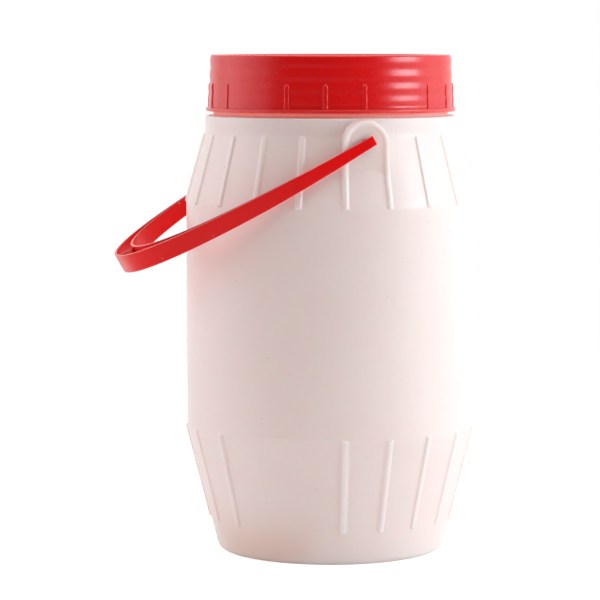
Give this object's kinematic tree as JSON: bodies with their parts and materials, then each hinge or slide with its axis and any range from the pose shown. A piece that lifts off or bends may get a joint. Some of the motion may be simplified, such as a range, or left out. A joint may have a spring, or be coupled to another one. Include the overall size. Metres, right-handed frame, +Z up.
{
  "type": "plastic food bucket",
  "caption": "Shut barrel-shaped food bucket in milky plastic, ribbed towards shoulder and foot, with a red screw lid and a red bail handle that swings over it.",
  "frame": {"origin": "centre of the flat base, on the body's axis", "axes": "+Z up along the body's axis, Y along the handle's hinge axis through both ears, the lowered handle towards -X"},
  "size_m": [0.2116, 0.1688, 0.2886],
  "materials": {
    "natural_hdpe": "milky blow-moulded polyethylene, soft sheen",
    "red_pp": "glossy injection-moulded polypropylene",
    "red_handle_pp": "glossy injection-moulded polypropylene"
  },
  "bodies": {
    "bucket": {"body": "natural_hdpe", "lid": "red_pp"},
    "handle": {"handle": "red_handle_pp"}
  },
  "joints": [
    {"name": "handle_swing", "type": "hinge", "parent": "bucket", "child": "handle", "pos_m": [0, 0, 0.2395], "axis": [0, 1, 0], "range_deg": [0, 239]}
  ]
}
